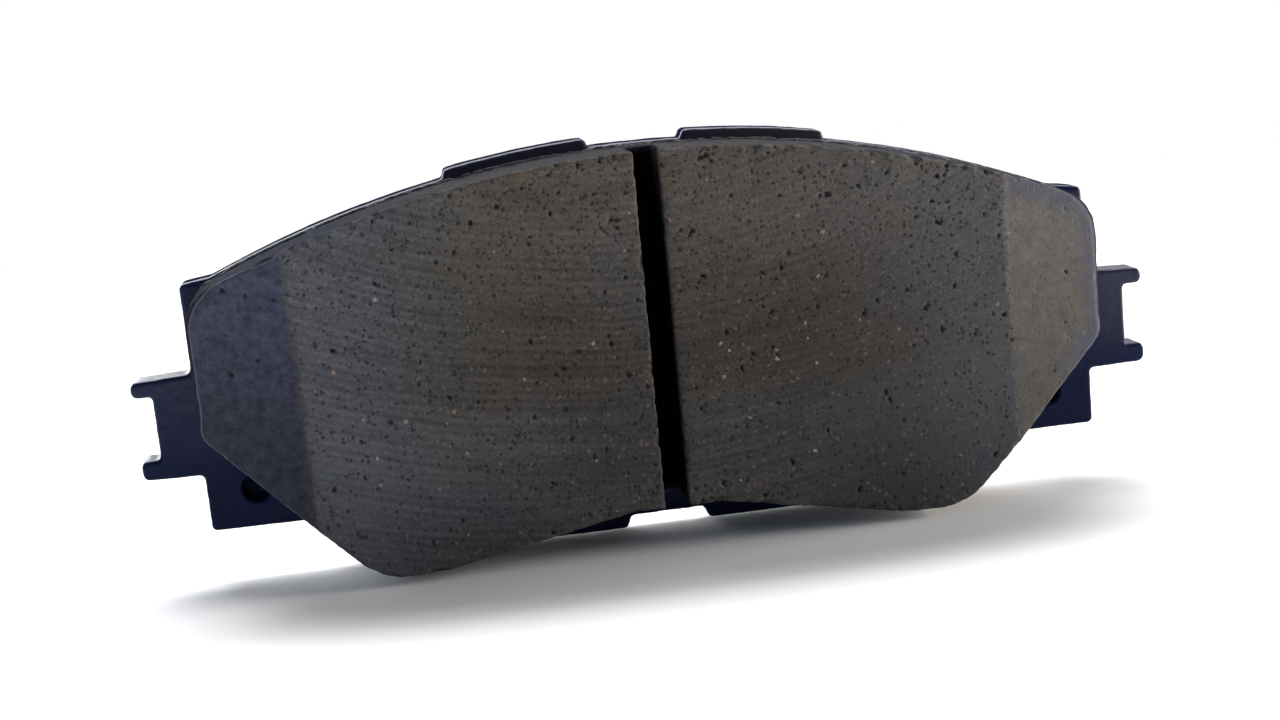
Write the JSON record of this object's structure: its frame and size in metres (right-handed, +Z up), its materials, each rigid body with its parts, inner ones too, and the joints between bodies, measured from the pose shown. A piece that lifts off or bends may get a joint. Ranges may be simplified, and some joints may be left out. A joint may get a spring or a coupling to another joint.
{
  "type": "disc brake pad",
  "caption": "Front disc brake pad: notched-ear steel backing plate with plug holes, moulded underlayer and a slotted friction block with chamfered ends.",
  "frame": {"origin": "middle of the footprint: centred in X and Y under the pad, at the height of its two lowest lobes, so it stands on Z = 0", "axes": "+Z up towards the domed edge; +X along the pad; the friction face looks towards -Y and the plate's back face towards +Y"},
  "size_m": [0.1534, 0.0186, 0.0603],
  "materials": {
    "plate_paint": "satin black powder coat with fine orange peel",
    "bond_resin": "thin cured phenolic film, matt",
    "underlayer_compound": "matt moulded compound, pitted",
    "friction_compound": "ground matt composite with fine scratches, pits and flecks"
  },
  "bodies": {
    "root": {"backing_plate": "plate_paint", "bond_film": "bond_resin", "underlayer": "underlayer_compound", "friction_block_left": "friction_compound", "friction_block_right": "friction_compound"}
  },
  "joints": []
}
